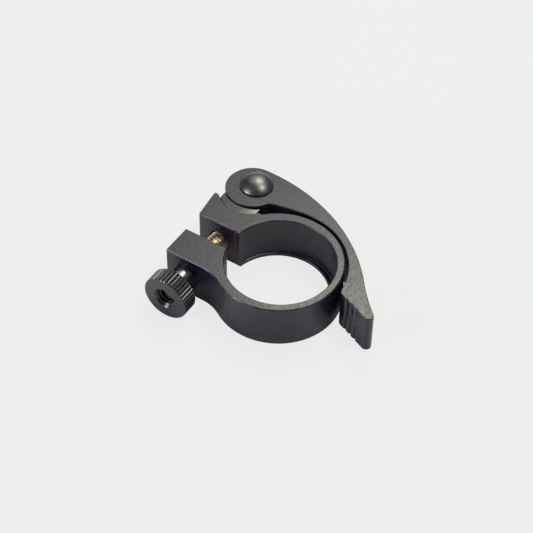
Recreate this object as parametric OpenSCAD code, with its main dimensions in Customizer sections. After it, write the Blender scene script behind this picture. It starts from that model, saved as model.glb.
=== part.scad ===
// Quick-release clamp that closes a frame's seat tube on the seatpost.
// Origin on the axis of the bore at the bottom face, +Z up along the tube.
// The ears point to -X, the skewer runs along Y with the nut at -Y and the lever at +Y.

/* [Collar] */
// Outside diameter of the seat tube that the collar closes on
bore_d = 31.8; // [30:0.1:34]
// Wall of the band beside the bore, at +Y and -Y
wall_t = 2.85; // [2:0.1:3]
// How far the bore stands off the middle of the band, away from the ears
bore_shift = 0.6; // [0:0.05:0.7]
// Height of the collar along the tube
collar_h = 14.3; // [14.2:0.1:16]
// Height of the lip that stops against the end of the tube
lip_h = 1.2; // [0.8:0.1:2]
// How much smaller the radius of the lip is than that of the bore
lip_in = 1; // [0.9:0.1:1.6]
// Chamfer on the ledge of the lip
ledge_chamfer = 0.2; // [0.1:0.05:0.2]
// Chamfer along the edges of the collar
collar_chamfer = 0.3; // [0.2:0.05:0.6]

/* [Ears] */
// Width of the slot between the ears
slot_w = 6.9; // [5:0.1:8]
// Place of the middle of the slot, from the plane through the bore's axis
slot_shift = -0.65; // [-0.8:0.05:0.8]
// Thickness of the ear under the nut
nut_ear_t = 10; // [8.5:0.1:11]
// Thickness of the ear under the lever
cam_ear_t = 9.65; // [8.5:0.1:10.5]
// Reach of the nut's ear past the outside of the band
nut_ear_reach = 10.05; // [8.5:0.1:12]
// Reach of the lever's ear past the outside of the band, at the slot
cam_ear_reach = 10.4; // [9:0.1:12]
// How much further the lever's ear reaches at its back
cam_ear_flare = 1.15; // [0:0.1:1.5]
// Radius that blends the nut's ear into the band
ear_blend_r = 12.35; // [9:0.05:16]
// Thickness left between the slot and the bottom of the pocket for the cam seat
pocket_web = 6.75; // [5.5:0.05:7]
// Radius of the pocket for the cam seat
pocket_r = 9.2; // [8.2:0.05:9.6]
// Radius of the relief grooves down the faces of the slot
relief_r = 0.3; // [0.2:0.05:0.5]
// Distance of the relief grooves from the bore
relief_in = 1.35; // [0.8:0.05:2]

/* [Skewer] */
// Diameter of the skewer over its thread
skewer_d = 5.94; // [5:0.02:6.2]
// Diameter of the holes through the ears
skewer_hole_d = 6.9; // [6.4:0.1:7.4]
// Distance of the skewer's axis from the outside of the band
skewer_out = 3.25; // [3:0.05:4]
// Chamfer on the ends of the skewer
skewer_chamfer = 0.5; // [0.3:0.1:0.8]

/* [Adjuster nut] */
// Diameter of the knurled head
nut_d = 14.2; // [12:0.1:14.2]
// Length of the knurled head
nut_head_l = 5.15; // [4:0.1:6]
// Length of the neck between the head and the ear
nut_neck_l = 5.2; // [3:0.1:6]
// Diameter of the neck
nut_neck_d = 8.2; // [7.4:0.1:9]
// Number of ridges in the knurl
knurl_count = 40; // [30:1:48]
// Depth of the knurl
knurl_depth = 0.38; // [0.2:0.02:0.5]
// Plain chamfered band at each end of the knurl
nut_chamfer = 0.3; // [0.2:0.05:0.6]
// Chamfer around the mouth of the threaded hole
nut_mouth = 0.5; // [0.3:0.1:0.8]
// Depth from the face of the nut to the end of the skewer
skewer_recess = 2.5; // [1.5:0.1:3]

/* [Cam lever] */
// Radius of the round cam head
cam_r = 8.15; // [7.8:0.05:8.5]
// Distance from the pivot to the middle of the cam head
cam_throw = 1.35; // [0.8:0.05:1.5]
// How far the closed cam is past its dead point, in degrees
cam_lead = 25; // [0:1:30]
// Height of the lever
lever_h = 13; // [12:0.1:14]
// Chamfer along the edges of the lever
lever_chamfer = 0.2; // [0.2:0.05:0.6]
// Least gap between the closed lever and the band
lever_gap = 0.9; // [0.6:0.05:1.5]
// Least thickness of the arm
arm_t = 2.4; // [2:0.1:3]
// Radius of the fillet between the cam head and the root of the arm
neck_r = 1.6; // [1:0.1:2.2]
// Radius of the flat arc that hollows the root of the arm
root_r = 60; // [45:1:75]
// Radius of the inner corner of the thumb tab
tab_corner_r = 1.9; // [1.4:0.05:2.2]
// Length of the tab from its inner corner to its tip
tab_l = 10.15; // [8.5:0.05:11]
// Direction of the tab
tab_angle = -24.6; // [-28:0.2:-22]
// Radius of the tip of the tab
tab_tip_r = 1.5; // [1.2:0.05:1.7]
// Radius of the concave sweep on the back of the tab
tab_sweep_r = 62; // [45:1:80]
// Number of grip grooves in the tab
grip_count = 3; // [2:1:3]
// Spacing of the grip grooves
grip_pitch = 2.15; // [1.8:0.05:2.4]
// Radius of a grip groove
grip_r = 0.64; // [0.5:0.02:0.8]
// Depth of a grip groove
grip_depth = 0.42; // [0.3:0.02:0.5]
// Height of the fork slot that the skewer swings in
fork_slot_h = 6.7; // [6.4:0.1:7.2]

/* [Pivot pin] */
// Diameter of the pin
pin_d = 8.2; // [7.6:0.1:8.4]
// Diameter of the domed head
pin_head_d = 10.05; // [9:0.05:10.4]
// Height of the dome above its rim
dome_h = 2.35; // [1.6:0.1:3]
// Height of the straight rim under the dome
dome_rim_h = 0.45; // [0.3:0.05:0.8]
// Depth of the lower end of the pin inside the lever
pin_inset = 0.3; // [0.1:0.1:0.8]
// Chamfer on the lower end of the pin
pin_chamfer = 0.25; // [0.1:0.05:0.5]

/* [Cam seat] */
// Thickness of the seat at the skewer
seat_t = 3.2; // [2.6:0.05:3.4]
// Width of the seat across the ear
seat_w = 12.4; // [11:0.1:12.6]
// Height of the seat
seat_h = 12.4; // [11:0.1:13]
// Chamfer around the seat
seat_chamfer = 0.25; // [0.1:0.05:0.4]

/* [Hidden] */
$fn = 96;

// Clearances
running_fit = 0.05;
swing_fit = 0.1;
thread_fit = 0.03;
face_fit = 0.05;
// Overrun of every cut past the face that it leaves
over = 2;

// The middle of the wrap circle that clears the band, seen from the bore's axis
wrap_shift_share = [-0.0906, -0.0841];
// Direction from the middle of the wrap circle in which the arm is thinnest
arm_thin_angle = 53;
// Directions in which one arc of the lever's outline hands over to the next
root_angle = 97;
tab_corner_angle = 6.8;
// Place of the first grip groove, as a share of the spacing
grip_start_share = 1;
// Half the width of a knurl ridge's crest, as a share of the spacing
crest_share = 0.16;
// Steps along the straight face of the tab
tab_face_steps = 6;

bore_r = bore_d / 2;
outer_r = bore_r + wall_t;
lip_r = bore_r - lip_in;
axis_z = collar_h / 2;
skewer_r = skewer_d / 2;
skewer_x = -(outer_r + skewer_out);
slot_near_y = slot_shift - slot_w / 2;
slot_far_y = slot_shift + slot_w / 2;
nut_ear_y = slot_near_y - nut_ear_t;
cam_ear_y = slot_far_y + cam_ear_t;
nut_ear_x = -(outer_r + nut_ear_reach);
cam_ear_x = -(outer_r + cam_ear_reach);
cam_ear_back_x = cam_ear_x - cam_ear_flare;
blend_x = -sqrt(pow(outer_r + ear_blend_r, 2) - pow(ear_blend_r - nut_ear_y, 2));
blend_centre = [blend_x, nut_ear_y - ear_blend_r];
blend_on_band = blend_centre * outer_r / norm(blend_centre);
pocket_y = slot_far_y + pocket_web;
pocket_centre = [skewer_x, pocket_y + pocket_r];
seat_in_y = pocket_y + seat_t;
sweep_r = cam_r + cam_throw + swing_fit;
pivot = [skewer_x, seat_in_y + sweep_r];
cam_centre = pivot + cam_throw * [-sin(cam_lead), -cos(cam_lead)];
wrap_centre = outer_r * wrap_shift_share;
wrap_r = outer_r + lever_gap + norm(wrap_centre);
root_centre = wrap_centre - toward(root_angle, root_r - wrap_r);
neck_centre = meeting(root_centre, root_r - neck_r, cam_centre, cam_r + neck_r);
head_end_angle = angle_of(neck_centre - cam_centre);
neck_end_angle = angle_of(neck_centre - root_centre);
// The back of the arm is one arc, tangent to the cam head and arm_t clear of the wrap circle
arm_dir = toward(arm_thin_angle, 1);
back_from = wrap_centre - cam_centre;
back_need = wrap_r + arm_t - cam_r;
back_reach = (back_from * back_from - pow(back_need, 2)) / (2 * (back_from * arm_dir + back_need));
back_r = wrap_r + arm_t + back_reach;
back_centre = wrap_centre - back_reach * arm_dir;
arm_back_angle = angle_of(cam_centre - back_centre);
tab_corner = wrap_centre + toward(tab_corner_angle, wrap_r + tab_corner_r);
tab_tip = tab_corner + toward(tab_angle, tab_l);
tab_face_angle = tab_angle + asin((tab_corner_r - tab_tip_r) / tab_l);
tab_face_start = tab_corner + toward(tab_face_angle - 90, tab_corner_r);
// The sweep touches the arc of the back and the round tip
sweep_centre = meeting(tab_tip, tab_sweep_r + tab_tip_r, back_centre, back_r + tab_sweep_r);
back_start_angle = angle_of(sweep_centre - back_centre);
tip_end_angle = angle_of(sweep_centre - tab_tip);
tip_middle_angle = (tab_face_angle - 90 + tip_end_angle) / 2;
head_middle_angle = (arm_back_angle + 360 + head_end_angle) / 2;
lever_z = axis_z - lever_h / 2;
lever_top = axis_z + lever_h / 2;
pin_r = pin_d / 2;
pin_head_r = pin_head_d / 2;
dome_r = (pow(pin_head_r, 2) + pow(dome_h, 2)) / (2 * dome_h);
nut_r = nut_d / 2;
nut_seat_y = nut_ear_y - face_fit;
nut_neck_y = nut_seat_y - nut_neck_l;
nut_face_y = nut_neck_y - nut_head_l;
skewer_start_y = nut_face_y + skewer_recess;
// The end of the skewer stays inside the round of the pin
skewer_end_y = pivot[1] + sqrt(pow(pin_r, 2) - pow(skewer_r, 2));

function toward(angle, length) = [length * cos(angle), length * sin(angle)];

function angle_of(v) = atan2(v[1], v[0]);

// Where two circles meet, on the right of the way from the first middle to the second
function meeting(middle_a, radius_a, middle_b, radius_b) =
    let (
        way = middle_b - middle_a,
        gap = norm(way),
        along = (pow(gap, 2) + pow(radius_a, 2) - pow(radius_b, 2)) / (2 * gap),
        aside = sqrt(pow(radius_a, 2) - pow(along, 2))
    )
    middle_a + along * way / gap + aside * [way[1], -way[0]] / gap;

// Points along an arc, without its last one
function arc(centre, radius, from, to, steps) =
    [for (i = [0 : steps - 1]) centre + toward(from + (to - from) * i / steps, radius)];

// The lever seen from above, as arcs that run into each other, moved in by inset.
// It starts at the end of the tab and its second half runs back beside the first.
function lever_outline(inset) =
    concat(
        arc(tab_tip, tab_tip_r - inset, tip_middle_angle, tip_end_angle, 5),
        arc(sweep_centre, tab_sweep_r + inset, 180 + tip_end_angle, 180 + back_start_angle, 6),
        arc(back_centre, back_r - inset, back_start_angle, arm_back_angle, 36),
        arc(cam_centre, cam_r - inset, arm_back_angle, head_middle_angle, 20),
        arc(cam_centre, cam_r - inset, head_middle_angle, 360 + head_end_angle, 20),
        arc(neck_centre, neck_r + inset, 180 + head_end_angle, neck_end_angle, 5),
        arc(root_centre, root_r + inset, neck_end_angle, root_angle, 4),
        arc(wrap_centre, wrap_r + inset, root_angle, tab_corner_angle, 22),
        arc(tab_corner, tab_corner_r - inset, 180 + tab_corner_angle, 270 + tab_face_angle, 5),
        [for (i = [0 : tab_face_steps - 1])
            tab_corner + toward(270 + tab_face_angle, tab_corner_r - inset)
                + (tab_tip - tab_corner + toward(270 + tab_face_angle, tab_tip_r - tab_corner_r))
                * i / tab_face_steps],
        arc(tab_tip, tab_tip_r - inset, tab_face_angle - 90, tip_middle_angle, 5)
    );

// A round disc or hub with both rims chamfered
module chamfered_cylinder(radius, height, chamfer) {
    rotate_extrude()
        polygon([
            [0, 0], [radius - chamfer, 0], [radius, chamfer], [radius, height - chamfer],
            [radius - chamfer, height], [0, height]
        ]);
}

// A round cutter that leaves both rims of what it cuts chamfered
module flared_cutter(radius, height, chamfer) {
    wide = radius + chamfer + over;
    rotate_extrude()
        polygon([
            [0, -over], [wide, -over], [radius, chamfer], [radius, height - chamfer],
            [wide, height + over], [0, height + over]
        ]);
}

// A straight chamfer along the edge from one point to another, at the top and at the bottom
module edge_chamfers(from, to, bottom, top, chamfer) {
    side = chamfer * sqrt(2);
    run = norm(to - from) + 2 * over;
    turn = atan2(to[1] - from[1], to[0] - from[0]);
    for (z = [bottom, top])
        translate([from[0], from[1], z])
            rotate([0, 0, turn])
                translate([-over, 0, 0])
                    rotate([45, 0, 0])
                        translate([0, -side / 2, -side / 2])
                            cube([run, side, side]);
}

// A chamfer down an upright edge
module corner_chamfer(place, turn, chamfer) {
    side = chamfer * sqrt(2);
    translate([place[0], place[1], -over])
        rotate([0, 0, turn])
            translate([-side / 2, -side / 2, 0])
                cube([side, side, collar_h + 2 * over]);
}

// A cylinder that lies along Y at the height of the skewer
module along_skewer(from_y, to_y, radius) {
    translate([skewer_x, from_y, axis_z])
        rotate([-90, 0, 0])
            cylinder(h = to_y - from_y, r = radius);
}

module ear_blanks() {
    linear_extrude(collar_h) {
        polygon([
            [nut_ear_x, nut_ear_y], [blend_x, nut_ear_y], blend_on_band,
            [0, -bore_r - wall_t / 2], [0, slot_near_y], [nut_ear_x, slot_near_y]
        ]);
        polygon([
            [cam_ear_x, slot_far_y], [cam_ear_back_x, cam_ear_y],
            [-sqrt(pow(outer_r, 2) - pow(cam_ear_y, 2)), cam_ear_y], [0, slot_far_y]
        ]);
    }
}

// The hole through the lip, and above it the bore for the tube
module bore_cut() {
    ledge_r = lip_r + ledge_chamfer;
    rotate_extrude()
        polygon([
            [0, -over], [lip_r + collar_chamfer + over, -over], [lip_r, collar_chamfer],
            [lip_r, lip_h - ledge_chamfer], [ledge_r, lip_h], [ledge_r, lip_h + over], [0, lip_h + over]
        ]);
    translate([bore_shift, 0, 0])
        rotate_extrude()
            polygon([
                [0, lip_h], [bore_r, lip_h], [bore_r, collar_h - collar_chamfer],
                [bore_r + collar_chamfer + over, collar_h + over], [0, collar_h + over]
            ]);
}

module slot_cut() {
    wide = slot_w / 2 + collar_chamfer + over;
    reach = outer_r + max(nut_ear_reach, cam_ear_reach + cam_ear_flare) + over;
    translate([-reach, slot_shift, 0])
        rotate([90, 0, 90])
            linear_extrude(reach)
                polygon([
                    [-wide, -over], [wide, -over], [slot_w / 2, collar_chamfer],
                    [slot_w / 2, collar_h - collar_chamfer], [wide, collar_h + over],
                    [-wide, collar_h + over], [-slot_w / 2, collar_h - collar_chamfer],
                    [-slot_w / 2, collar_chamfer]
                ]);
}

module relief_grooves() {
    for (y = [slot_near_y, slot_far_y])
        translate([bore_shift - sqrt(pow(bore_r, 2) - pow(y, 2)) - relief_in, y, -over])
            cylinder(h = collar_h + 2 * over, r = relief_r);
}

module collar() {
    color("dimgray")
        difference() {
            union() {
                chamfered_cylinder(outer_r, collar_h, collar_chamfer);
                ear_blanks();
            }
            bore_cut();
            slot_cut();
            relief_grooves();
            translate([blend_centre[0], blend_centre[1], 0])
                flared_cutter(ear_blend_r, collar_h, collar_chamfer);
            translate([pocket_centre[0], pocket_centre[1], 0])
                flared_cutter(pocket_r, collar_h, collar_chamfer);
            along_skewer(nut_ear_y - over, cam_ear_y + over, skewer_hole_d / 2);
            edge_chamfers([nut_ear_x, nut_ear_y], [blend_x - over, nut_ear_y], 0, collar_h, collar_chamfer);
            edge_chamfers([nut_ear_x, nut_ear_y], [nut_ear_x, slot_near_y], 0, collar_h, collar_chamfer);
            edge_chamfers([cam_ear_x, slot_far_y], [cam_ear_back_x, cam_ear_y], 0, collar_h, collar_chamfer);
            for (corner = [[nut_ear_x, nut_ear_y], [nut_ear_x, slot_near_y], [cam_ear_x, slot_far_y]])
                corner_chamfer(corner, 45, collar_chamfer);
            corner_chamfer([cam_ear_back_x, cam_ear_y], 45, collar_chamfer);
        }
}

module cam_seat() {
    color("lightgray")
        difference() {
            intersection() {
                translate([pocket_centre[0], pocket_centre[1], axis_z - seat_h / 2])
                    chamfered_cylinder(pocket_r - face_fit, seat_h, seat_chamfer);
                translate([skewer_x - seat_w / 2, pocket_y - over, 0])
                    cube([seat_w, pocket_r, collar_h]);
            }
            translate([pivot[0], pivot[1], axis_z - seat_h / 2])
                flared_cutter(sweep_r, seat_h, seat_chamfer);
            along_skewer(pocket_y - over, pivot[1], skewer_hole_d / 2);
        }
}

// The lever's outline carried up through its height, with both rims chamfered
module lever_blank() {
    levels = [
        [lever_z, lever_chamfer], [lever_z + lever_chamfer, 0],
        [lever_top - lever_chamfer, 0], [lever_top, lever_chamfer]
    ];
    n = len(lever_outline(0));
    last = (len(levels) - 1) * n;
    polyhedron(
        points = [for (level = levels) for (p = lever_outline(level[1])) [p[0], p[1], level[0]]],
        faces = concat(
            [for (i = [0 : n / 2 - 2]) [i, i + 1, n - 2 - i, n - 1 - i]],
            [for (k = [0 : len(levels) - 2]) for (i = [0 : n - 1])
                let (next = (i + 1) % n)
                [k * n + i, (k + 1) * n + i, (k + 1) * n + next, k * n + next]],
            [for (i = [0 : n / 2 - 2]) [last + n - 1 - i, last + n - 2 - i, last + i + 1, last + i]]
        )
    );
}

module grip_grooves() {
    for (i = [0 : grip_count - 1])
        translate([tab_face_start[0], tab_face_start[1], lever_z - over])
            rotate([0, 0, tab_face_angle])
                translate([(i + grip_start_share) * grip_pitch, grip_depth - grip_r, 0])
                    cylinder(h = lever_h + 2 * over, r = grip_r, $fn = 32);
}

module fork_slot() {
    start = cam_centre - [cam_r + over, cam_r + over];
    translate([start[0], start[1], axis_z - fork_slot_h / 2])
        cube([pivot[0] + pin_r + swing_fit - start[0], 2 * (cam_r + over), fork_slot_h]);
}

module cam_lever() {
    color("dimgray")
        difference() {
            lever_blank();
            grip_grooves();
            fork_slot();
            translate([pivot[0], pivot[1], lever_z - over])
                cylinder(h = lever_h + 2 * over, r = pin_r + running_fit);
        }
}

// One turned piece: the dome on its rim, the barrel and the cross hole for the skewer
module pivot_pin() {
    start_z = lever_z + pin_inset;
    seat_z = lever_top + face_fit;
    color("slategray")
        difference() {
            translate([pivot[0], pivot[1], 0])
                union() {
                    translate([0, 0, start_z])
                        chamfered_cylinder(pin_r, seat_z + dome_rim_h / 2 - start_z, pin_chamfer);
                    translate([0, 0, seat_z])
                        cylinder(h = dome_rim_h, r = pin_head_r);
                    intersection() {
                        translate([0, 0, seat_z + dome_rim_h + dome_h - dome_r])
                            sphere(r = dome_r);
                        translate([0, 0, seat_z + dome_rim_h / 2])
                            cylinder(h = dome_h + dome_rim_h, r = pin_head_r);
                    }
                }
            along_skewer(pivot[1] - pin_r - over, pivot[1] + pin_r + over, skewer_r + thread_fit);
        }
}

module skewer() {
    color("darkgoldenrod")
        translate([skewer_x, skewer_start_y, axis_z])
            rotate([-90, 0, 0])
                chamfered_cylinder(skewer_r, skewer_end_y - skewer_start_y, skewer_chamfer);
}

// Outline of the straight knurl, one ridge and one groove for each step
module knurl_outline() {
    step = 360 / knurl_count;
    crest = step * crest_share;
    polygon([
        for (i = [0 : knurl_count - 1])
            for (corner = [[-crest, nut_r], [crest, nut_r], [step / 2, nut_r - knurl_depth]])
                toward(i * step + corner[0], corner[1])
    ]);
}

module adjuster_nut() {
    bore = skewer_r + running_fit;
    color("dimgray")
        translate([skewer_x, nut_face_y, axis_z])
            rotate([-90, 0, 0])
                difference() {
                    union() {
                        intersection() {
                            chamfered_cylinder(nut_r, nut_head_l, nut_chamfer);
                            linear_extrude(nut_head_l)
                                knurl_outline();
                        }
                        translate([0, 0, nut_head_l / 2])
                            cylinder(h = nut_neck_l + nut_head_l / 2, r = nut_neck_d / 2);
                    }
                    translate([0, 0, -over])
                        cylinder(h = nut_head_l + nut_neck_l + 2 * over, r = bore);
                    translate([0, 0, -over])
                        cylinder(h = nut_mouth + over, r1 = bore + nut_mouth + over, r2 = bore);
                }
}

collar();
cam_seat();
cam_lever();
pivot_pin();
skewer();
adjuster_nut();
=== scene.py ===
"""Dresses the quick-release seatpost clamp: finishes, threads, floor, light and camera."""

import math

import bmesh
import bpy
from mathutils import Matrix, Vector


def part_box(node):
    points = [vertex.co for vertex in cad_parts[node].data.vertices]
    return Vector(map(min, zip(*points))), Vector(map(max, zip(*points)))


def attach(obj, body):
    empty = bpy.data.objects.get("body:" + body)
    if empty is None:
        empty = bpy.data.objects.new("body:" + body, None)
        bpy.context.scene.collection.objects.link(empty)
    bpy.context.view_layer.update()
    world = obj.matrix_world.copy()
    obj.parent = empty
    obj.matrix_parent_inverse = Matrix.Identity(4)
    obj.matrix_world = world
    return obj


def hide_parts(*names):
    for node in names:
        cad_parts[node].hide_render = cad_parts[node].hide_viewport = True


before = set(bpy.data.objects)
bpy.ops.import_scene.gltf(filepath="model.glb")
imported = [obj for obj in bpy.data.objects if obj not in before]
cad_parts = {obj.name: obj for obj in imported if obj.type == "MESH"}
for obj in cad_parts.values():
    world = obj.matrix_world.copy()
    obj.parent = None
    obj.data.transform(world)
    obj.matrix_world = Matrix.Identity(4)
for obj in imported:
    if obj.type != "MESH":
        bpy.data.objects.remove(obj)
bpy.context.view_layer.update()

MM = 0.001

# Camera: the direction it looks in, its roll, its distance and its lens
CAMERA_AZIMUTH = 32.345
CAMERA_ELEVATION = 47.534
CAMERA_ROLL = 1.059
CAMERA_DISTANCE = 457.0 * MM
CAMERA_LENS = 107.39
CAMERA_SENSOR = 36.0
# Where the origin lies in the picture, from its middle, and how far the camera is raised after that
ORIGIN_RIGHT = 3.18 * MM
ORIGIN_UP = -7.75 * MM
CAMERA_LIFT = 0.3 * MM

# The floor's colour, as the photograph's ground shows, and the share of it that glows by itself
FLOOR_COLOUR = (0.847, 0.847, 0.847, 1.0)
FLOOR_SIZE = 6.0
GLOW_SEEN = 0.92
GLOW_REFLECTED = 0.15

# The faint light from all round
WORLD_COLOUR = (0.92, 0.96, 1.0, 1.0)
WORLD_STRENGTH = 0.10

# Metric thread of the skewer and the nut
THREAD_PITCH = 1.0 * MM
THREAD_DEPTH = 0.58 * MM
THREAD_SIDES = 64
SKEWER_CHAMFER = 0.5 * MM
# Turns drawn past the two ends, which are then cut off level
SPARE_TURNS = 3
# Corners of a thread nearer than this become one
WELD_DISTANCE = 0.002 * MM
# Edges of a thread that turn by more than this stay sharp
SMOOTH_ANGLE = 30.0

# Length of the nut's head, behind which its neck begins
NUT_HEAD_LENGTH = 5.2 * MM
# The nut's thread shows at its mouth, in front of the end of the skewer
NUT_THREAD_START = 0.55 * MM
NUT_THREAD_LENGTH = 1.9 * MM
# The root of the nut's thread is wider than the skewer by this, all round
NUT_THREAD_ROOM = 0.04 * MM

# Range in which one noise mostly stays, and the sum of two
NOISE_RANGE = (0.35, 0.65)
NOISE_SUM_RANGE = (0.85, 1.15)
NOISE_ROUGHNESS = 0.55

# Black finish: dye from thick to thin, the tint of its sheen, and the bare alloy of a rubbed edge, which
# also serves as a painted highlight along the edges
DYE_THICK = (0.0030, 0.0012, 0.0075)
DYE_THIN = (0.0165, 0.0085, 0.0300)
SHEEN_TINT = (0.91, 0.865, 1.0, 1.0)
BARE_ALLOY_AND_EDGE_HIGHLIGHT = (0.42, 0.42, 0.44)
# Part of the grain is drawn out, with this share of its scale along one direction
DRAWN_SHARE = 0.16
DRAWN_ANGLE = 35.0
# Noises of the black finish, in cells for each metre
FINE_GRAIN = 3600.0
DRAWN_GRAIN = 3000.0
COARSE_GRAIN = 1300.0
SPECKLE = 2100.0
DRAWN_SPECKLE = 1700.0
DYE_CLOUDS = 260.0
WEAR_PATCHES = 420.0
# Depth of its grain, and how much of its mottle comes from the speckle
FINE_DEPTH = 0.016 * MM
COARSE_DEPTH = 0.030 * MM
SPECKLE_SHARE = 0.75
# An edge is rubbed bare and painted light as a highlight where its eased and true directions
# differ: fully at the first cosine, and no more at the second. The least worn patches have this share of
# it.
WORN_COSINES = (0.90, 0.985)
LEAST_WEAR = 0.25

# Noises of the metals, in cells for each metre, and the depth of their grain
METAL_CLOUDS = 300.0
METAL_PATCHES = 1100.0
METAL_GRAIN = 4000.0
METAL_GRAIN_DEPTH = 0.01 * MM
# Colour of the painted shade in crevices and gaps between parts, and how open a place is where that
# painted shade is full and where it ends
PAINTED_SHADE_COLOUR = (0.004, 0.004, 0.005)
PAINTED_SHADE_OPENNESS = (0.45, 0.85)
# The seat's top face falls away from a line at this share of its length
SEAT_CROWN_CENTRE = 0.72
SEAT_CROWN_RISE = 2.2 * MM


# Nodes


def new_material(name):
    material = bpy.data.materials.new(name)
    material.use_nodes = True
    material.node_tree.nodes.clear()
    output = material.node_tree.nodes.new("ShaderNodeOutputMaterial")
    return material, material.node_tree, output


def add(tree, kind, **values):
    """A new node. Each value goes to the input of that name, or else to the node's setting."""
    node = tree.nodes.new(kind)
    for name, value in values.items():
        if name in node.inputs:
            node.inputs[name].default_value = value
        else:
            setattr(node, name, value)
    return node


def maths(tree, operation, first, second):
    """What an operation makes of two values, each a socket or a plain number."""
    node = add(tree, "ShaderNodeMath", operation=operation)
    for socket, value in zip(node.inputs, (first, second)):
        if isinstance(value, float):
            socket.default_value = value
        else:
            tree.links.new(value, socket)
    return node.outputs["Value"]


def noise(tree, coords, scale, detail):
    node = add(tree, "ShaderNodeTexNoise", Scale=scale, Detail=detail, Roughness=NOISE_ROUGHNESS)
    tree.links.new(coords, node.inputs["Vector"])
    return node.outputs["Fac"]


def spread(tree, value, low, high, reach=NOISE_RANGE):
    """The value, stretched so that its reach becomes low to high."""
    node = add(tree, "ShaderNodeMapRange")
    tree.links.new(value, node.inputs["Value"])
    node.inputs["From Min"].default_value = reach[0]
    node.inputs["From Max"].default_value = reach[1]
    node.inputs["To Min"].default_value = low
    node.inputs["To Max"].default_value = high
    return node.outputs["Result"]


def colours(tree, share, first, second):
    """A mix of two colours, each a socket or a plain colour."""
    node = add(tree, "ShaderNodeMix", data_type="RGBA")
    tree.links.new(share, node.inputs["Factor"])
    for name, colour in (("A", first), ("B", second)):
        if isinstance(colour, tuple):
            node.inputs[name].default_value = (*colour, 1.0)
        else:
            tree.links.new(colour, node.inputs[name])
    return node.outputs["Result"]


def bump(tree, height, strength, distance, normal):
    node = add(tree, "ShaderNodeBump", Strength=strength, Distance=distance)
    tree.links.new(height, node.inputs["Height"])
    tree.links.new(normal, node.inputs["Normal"])
    return node.outputs["Normal"]


def object_coords(tree, scale=(1.0, 1.0, 1.0), turn=0.0):
    coords = add(tree, "ShaderNodeTexCoord")
    mapping = add(tree, "ShaderNodeMapping", Scale=scale, Rotation=(0.0, 0.0, turn))
    tree.links.new(coords.outputs["Object"], mapping.inputs["Vector"])
    return mapping.outputs["Vector"]


# Materials


def rounded_edges(tree, radius):
    """The surface's direction with its sharp edges eased, as tumbling leaves them."""
    return add(tree, "ShaderNodeBevel", samples=6, Radius=radius).outputs["Normal"]


def painted_crevice_shade(tree, colour, distance):
    """The colour, with painted shade: the crevice's colour where other faces lie within the distance."""
    # Painted shade: the colour is darkened where other faces lie near, in place of the shade in gaps
    node = add(tree, "ShaderNodeAmbientOcclusion", samples=8, Distance=distance)
    open_share = spread(tree, node.outputs["AO"], 0.0, 1.0, PAINTED_SHADE_OPENNESS)
    return colours(tree, open_share, PAINTED_SHADE_COLOUR, colour)


def rubbed_edges_and_painted_highlight(tree, coords, rounded, amount):
    """How far a sharp edge is rubbed bare and painted light as a highlight, from 0 on flat faces up to
    the amount, in uneven patches.
    """
    geometry = add(tree, "ShaderNodeNewGeometry")
    along = add(tree, "ShaderNodeVectorMath", operation="DOT_PRODUCT")
    tree.links.new(geometry.outputs["Normal"], along.inputs[0])
    tree.links.new(rounded, along.inputs[1])
    edge = spread(tree, along.outputs["Value"], 1.0, 0.0, WORN_COSINES)
    patches = spread(tree, noise(tree, coords, WEAR_PATCHES, 4.0), LEAST_WEAR * amount, amount)
    return maths(tree, "MULTIPLY", edge, patches)


def black_anodised(name, roughness, grain, ease, ior, edge_wear_and_highlight):
    """Dyed black alloy: a fine grain, cloudy dye, a soft sheen, and edges rubbed bare, whose light
    colour is also a painted highlight.
    """
    material, tree, output = new_material(name)
    shader = add(tree, "ShaderNodeBsdfPrincipled")
    even = object_coords(tree)
    drawn = object_coords(tree, (1.0, DRAWN_SHARE, 1.0), math.radians(DRAWN_ANGLE))
    rounded = rounded_edges(tree, ease)

    speckle = maths(tree, "ADD", noise(tree, even, SPECKLE, 3.0), noise(tree, drawn, DRAWN_SPECKLE, 3.0))
    specks = spread(tree, speckle, 0.0, SPECKLE_SHARE, NOISE_SUM_RANGE)
    clouds = spread(tree, noise(tree, even, DYE_CLOUDS, 4.0), 0.0, 1.0 - SPECKLE_SHARE)
    dye = colours(tree, maths(tree, "ADD", specks, clouds), DYE_THICK, DYE_THIN)
    # Painted highlight: the edges take the light bare alloy colour, partly as wear and partly in place
    # of the highlights along them
    colour = colours(tree, rubbed_edges_and_painted_highlight(tree, even, rounded, edge_wear_and_highlight), dye, BARE_ALLOY_AND_EDGE_HIGHLIGHT)
    tree.links.new(colour, shader.inputs["Base Color"])
    tree.links.new(spread(tree, speckle, *roughness, NOISE_SUM_RANGE), shader.inputs["Roughness"])

    normal = bump(tree, noise(tree, even, FINE_GRAIN, 2.0), grain, FINE_DEPTH, rounded)
    normal = bump(tree, noise(tree, drawn, DRAWN_GRAIN, 2.0), grain, COARSE_DEPTH, normal)
    normal = bump(tree, noise(tree, even, COARSE_GRAIN, 3.0), grain, COARSE_DEPTH, normal)
    tree.links.new(normal, shader.inputs["Normal"])

    shader.inputs["IOR"].default_value = ior
    shader.inputs["Specular Tint"].default_value = SHEEN_TINT
    tree.links.new(shader.outputs["BSDF"], output.inputs["Surface"])
    return material


def crowned(tree, normal, centre, rise):
    """The direction of a face that falls away along X, to both sides of a centre line.

    The centre is a share of the piece's length, the rise a height over its whole length.
    """
    coords = add(tree, "ShaderNodeTexCoord")
    split = add(tree, "ShaderNodeSeparateXYZ")
    tree.links.new(coords.outputs["Generated"], split.inputs["Vector"])
    away = maths(tree, "SUBTRACT", split.outputs["X"], centre)
    height = maths(tree, "SUBTRACT", 1.0, maths(tree, "MULTIPLY", away, away))
    return bump(tree, height, 1.0, rise, normal)


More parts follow.
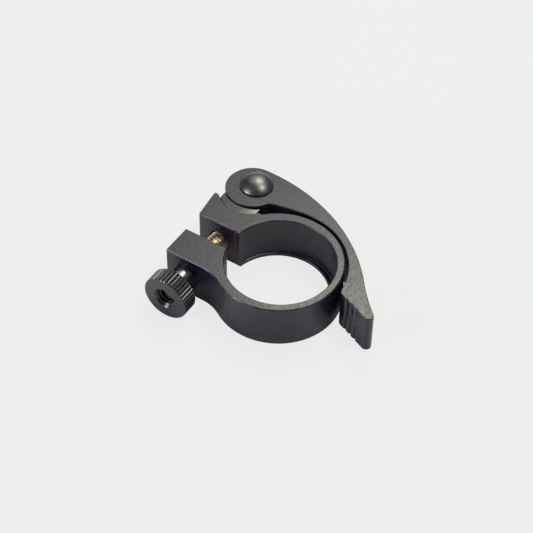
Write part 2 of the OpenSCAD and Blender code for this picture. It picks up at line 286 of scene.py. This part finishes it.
def metal(name, low, high, roughness, grain, clouds=METAL_CLOUDS, ease=0.1 * MM, painted_shade_reach=None, crown=None):
    """Bare or plated metal, faintly cloudy from the low to the high colour, with a fine grain.

    The shade reach is the distance within which gaps and crevices are painted darker as shade,
    and the crown is the centre and the rise of a face that falls away. A metal may go without either.
    """
    material, tree, output = new_material(name)
    shader = add(tree, "ShaderNodeBsdfPrincipled", Metallic=1.0)
    even = object_coords(tree)

    colour = colours(tree, spread(tree, noise(tree, even, clouds, 4.0), 0.0, 1.0), low, high)
    if painted_shade_reach is not None:
        # Painted shade: crevices and gaps are darkened in the colour itself
        colour = painted_crevice_shade(tree, colour, painted_shade_reach)
    tree.links.new(colour, shader.inputs["Base Color"])
    patches = noise(tree, even, METAL_PATCHES, 3.0)
    tree.links.new(spread(tree, patches, *roughness), shader.inputs["Roughness"])

    normal = rounded_edges(tree, ease)
    if crown is not None:
        normal = crowned(tree, normal, *crown)
    normal = bump(tree, noise(tree, even, METAL_GRAIN, 2.0), grain, METAL_GRAIN_DEPTH, normal)
    tree.links.new(normal, shader.inputs["Normal"])

    tree.links.new(shader.outputs["BSDF"], output.inputs["Surface"])
    return material


# Meshes


def smooth(piece):
    """Shades the piece smooth, but for its sharp edges."""
    for face in piece.data.polygons:
        face.use_smooth = True
    bpy.context.view_layer.objects.active = piece
    piece.select_set(True)
    bpy.ops.object.shade_smooth_by_angle(angle=math.radians(SMOOTH_ANGLE))
    piece.select_set(False)


def finished(name, bm, material, body):
    """A new piece from the mesh, which rides on a body and takes the given material as its finish."""
    mesh = bpy.data.meshes.new(name)
    bm.to_mesh(mesh)
    bm.free()
    piece = bpy.data.objects.new(name, mesh)
    bpy.context.scene.collection.objects.link(piece)
    piece.data.materials.append(material)
    smooth(piece)
    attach(piece, body)
    return piece


def helix(start, profile, length, shape):
    """A thread along +Y: one profile of (share of the pitch, radius) drawn round in a helix.

    It is cut off level at the start and at the length. The shape turns a place along the
    axis and a radius into the radius that is used there.
    """
    bm = bmesh.new()
    turns = int(length / THREAD_PITCH) + SPARE_TURNS
    rings = [(turn + share, r) for turn in range(turns) for share, r in profile]
    columns = []
    for side in range(THREAD_SIDES):
        angle = 2 * math.pi * side / THREAD_SIDES
        column = []
        for place, r in rings:
            y = (place - 1 + side / THREAD_SIDES) * THREAD_PITCH
            y = min(max(y, 0.0), length)
            used = shape(y, r)
            across = Vector((used * math.cos(angle), y, used * math.sin(angle)))
            column.append(bm.verts.new(start + across))
        columns.append(column)
    for side in range(THREAD_SIDES):
        here = columns[side]
        there = columns[(side + 1) % THREAD_SIDES]
        # The last side joins the first one a turn further on
        shift = len(profile) if side == THREAD_SIDES - 1 else 0
        for i in range(len(rings) - 1):
            j = i - shift
            if j < 0 or j + 1 >= len(rings):
                continue
            bm.faces.new((here[i], here[i + 1], there[j + 1], there[j]))
    bmesh.ops.remove_doubles(bm, verts=bm.verts, dist=WELD_DISTANCE)
    return bm


def make_skewer(material):
    """The skewer with its thread, in place of the plain bar."""
    low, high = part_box("skewer")
    centre = (low + high) / 2
    radius = (high.x - low.x) / 2
    length = high.y - low.y
    root = radius - THREAD_DEPTH
    # One turn: a flat root, the way up to a flat crest, and the way back to the next root
    profile = [(0.0, root), (0.25, root), (0.55, radius), (0.70, radius)]

    def shape(y, r):
        end = min(y, length - y)
        return min(r, radius - SKEWER_CHAMFER + end)

    bm = helix(Vector((centre.x, low.y, centre.z)), profile, length, shape)
    bmesh.ops.holes_fill(bm, edges=bm.edges, sides=0)
    bmesh.ops.recalc_face_normals(bm, faces=bm.faces)
    piece = finished("skewer_threaded", bm, material, "clamp")
    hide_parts("skewer")


def make_nut_thread(material):
    """The first turns of the thread inside the mouth of the nut."""
    skewer_low, skewer_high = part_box("skewer")
    nut_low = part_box("adjuster_nut")[0]
    centre = (skewer_low + skewer_high) / 2
    root = (skewer_high.x - skewer_low.x) / 2 + NUT_THREAD_ROOM
    crest = root - THREAD_DEPTH
    # One turn, as on the skewer, with its crest towards the axis
    profile = [(0.0, root), (0.30, root), (0.60, crest), (0.70, crest)]

    def shape(y, r):
        end = min(y, NUT_THREAD_LENGTH - y)
        return max(r, root - end)

    start = Vector((centre.x, nut_low.y + NUT_THREAD_START, centre.z))
    bm = helix(start, profile, NUT_THREAD_LENGTH, shape)
    bmesh.ops.recalc_face_normals(bm, faces=bm.faces)
    bmesh.ops.reverse_faces(bm, faces=bm.faces)
    finished("nut_thread", bm, material, "nut")


def polish_neck(material):
    """The nut's neck, behind its head, is polished smoother than the rest of the nut."""
    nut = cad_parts["adjuster_nut"]
    head_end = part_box("adjuster_nut")[0].y + NUT_HEAD_LENGTH
    nut.data.materials.append(material)
    for face in nut.data.polygons:
        if face.center.y > head_end:
            face.material_index = 1


# Finishes of the pieces

# The collar and lever have rubbed edges, painted light as a highlight
BLACK = black_anodised(
    "black_anodised",
    roughness=(0.27, 0.39), grain=0.45, ease=0.32 * MM, ior=1.55, edge_wear_and_highlight=0.6,
)
TURNED = black_anodised(
    "black_anodised_turned",
    roughness=(0.27, 0.33), grain=0.12, ease=0.12 * MM, ior=1.63, edge_wear_and_highlight=0.0,
)
STEEL = metal(
    "dark_polished_steel",
    low=(0.128, 0.128, 0.134), high=(0.150, 0.150, 0.156), roughness=(0.36, 0.40), grain=0.03,
)
NECK = black_anodised(
    "black_anodised_polished",
    roughness=(0.20, 0.24), grain=0.05, ease=0.12 * MM, ior=2.4, edge_wear_and_highlight=0.0,
)
# The seat's edges beside the collar and lever get painted shade
SEAT = metal(
    "seat_metal",
    low=(0.078, 0.079, 0.083), high=(0.100, 0.101, 0.106), roughness=(0.26, 0.32), grain=0.03,
    ease=0.35 * MM, painted_shade_reach=0.7 * MM, crown=(SEAT_CROWN_CENTRE, SEAT_CROWN_RISE),
)
ZINC = metal(
    "yellow_zinc",
    low=(0.50, 0.40, 0.31), high=(0.66, 0.545, 0.44), roughness=(0.30, 0.36), grain=0.02,
    clouds=500.0, ease=0.04 * MM,
)

FINISHES = {
    "collar": BLACK,
    "cam_lever": BLACK,
    "adjuster_nut": TURNED,
    "pivot_pin": STEEL,
    "cam_seat": SEAT,
    "skewer": ZINC,
}
for node_name, material in FINISHES.items():
    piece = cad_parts[node_name]
    piece.data.materials.clear()
    piece.data.materials.append(material)
polish_neck(NECK)
make_skewer(ZINC)
make_nut_thread(TURNED)


# Stage, light and camera


def make_floor():
    """A pale floor that mostly glows for the camera, and still takes the object's shadow."""
    bpy.ops.mesh.primitive_plane_add(size=FLOOR_SIZE, location=(0.0, 0.0, 0.0))
    floor = bpy.context.object
    floor.name = "floor"
    material, tree, output = new_material("pale_floor")
    diffuse = add(tree, "ShaderNodeBsdfDiffuse", Color=FLOOR_COLOUR)
    glow = add(tree, "ShaderNodeEmission", Color=FLOOR_COLOUR, Strength=1.0)
    path = add(tree, "ShaderNodeLightPath")
    seen = maths(tree, "MULTIPLY", path.outputs["Is Camera Ray"], GLOW_SEEN)
    seen_through = maths(tree, "MULTIPLY", path.outputs["Is Transmission Ray"], GLOW_SEEN)
    reflected = maths(tree, "MULTIPLY", path.outputs["Is Glossy Ray"], GLOW_REFLECTED)
    glow_share = maths(tree, "MAXIMUM", maths(tree, "MAXIMUM", seen, seen_through), reflected)
    mix = add(tree, "ShaderNodeMixShader")
    tree.links.new(glow_share, mix.inputs["Fac"])
    tree.links.new(diffuse.outputs["BSDF"], mix.inputs[1])
    tree.links.new(glow.outputs["Emission"], mix.inputs[2])
    tree.links.new(mix.outputs["Shader"], output.inputs["Surface"])
    floor.data.materials.append(material)


def make_world():
    world = bpy.data.worlds.new("studio")
    bpy.context.scene.world = world
    world.use_nodes = True
    background = world.node_tree.nodes["Background"]
    background.inputs["Color"].default_value = WORLD_COLOUR
    background.inputs["Strength"].default_value = WORLD_STRENGTH


def softbox(name, place, size, radiance, colour):
    """A square lamp that faces the origin. The radiance sets how bright it looks, at any size."""
    light = bpy.data.lights.new(name, "AREA")
    light.shape = "SQUARE"
    light.size = size
    light.color = colour
    light.energy = radiance * math.pi * size * size
    lamp = bpy.data.objects.new(name, light)
    bpy.context.scene.collection.objects.link(lamp)
    lamp.location = place
    lamp.rotation_mode = "QUATERNION"
    lamp.rotation_quaternion = Vector(place).to_track_quat("Z", "Y")


def make_lamps():
    """Two lamps behind the object, one above it and one on the nut's side.

    Each has its place and size in metres, its radiance and its colour.
    """
    softbox("cool_back_box", (-0.291, 0.462, 0.585), 0.75, 1.30, (0.88, 1.0, 0.84))
    softbox("warm_back_box", (-0.042, 0.153, 0.270), 0.12, 9.2, (0.94, 1.0, 0.70))
    softbox("top_box", (0.340, 0.120, 0.710), 0.20, 20.0, (1.0, 0.98, 0.90))
    softbox("left_box", (-0.350, -0.525, 0.300), 0.17, 25.0, (1.0, 1.0, 0.98))


def make_camera():
    """The camera, aimed by its angles so that the origin lies where the photograph has it."""
    azimuth = math.radians(CAMERA_AZIMUTH)
    elevation = math.radians(CAMERA_ELEVATION)
    roll = math.radians(CAMERA_ROLL)
    ahead = Vector((
        -math.sin(azimuth) * math.cos(elevation),
        math.cos(azimuth) * math.cos(elevation),
        -math.sin(elevation),
    ))
    level_right = ahead.cross(Vector((0.0, 0.0, 1.0))).normalized()
    level_up = level_right.cross(ahead)
    right = level_right * math.cos(roll) + level_up * math.sin(roll)
    up = level_up * math.cos(roll) - level_right * math.sin(roll)
    place = -ORIGIN_RIGHT * right - ORIGIN_UP * up - CAMERA_DISTANCE * ahead
    place += Vector((0.0, 0.0, CAMERA_LIFT))
    data = bpy.data.cameras.new("camera")
    data.lens = CAMERA_LENS
    data.sensor_width = CAMERA_SENSOR
    camera = bpy.data.objects.new("camera", data)
    bpy.context.scene.collection.objects.link(camera)
    turn = Matrix((right, up, -ahead)).transposed().to_4x4()
    camera.matrix_world = Matrix.Translation(place) @ turn
    bpy.context.scene.camera = camera


make_floor()
make_world()
make_lamps()
make_camera()
bpy.context.scene.view_settings.view_transform = "Standard"
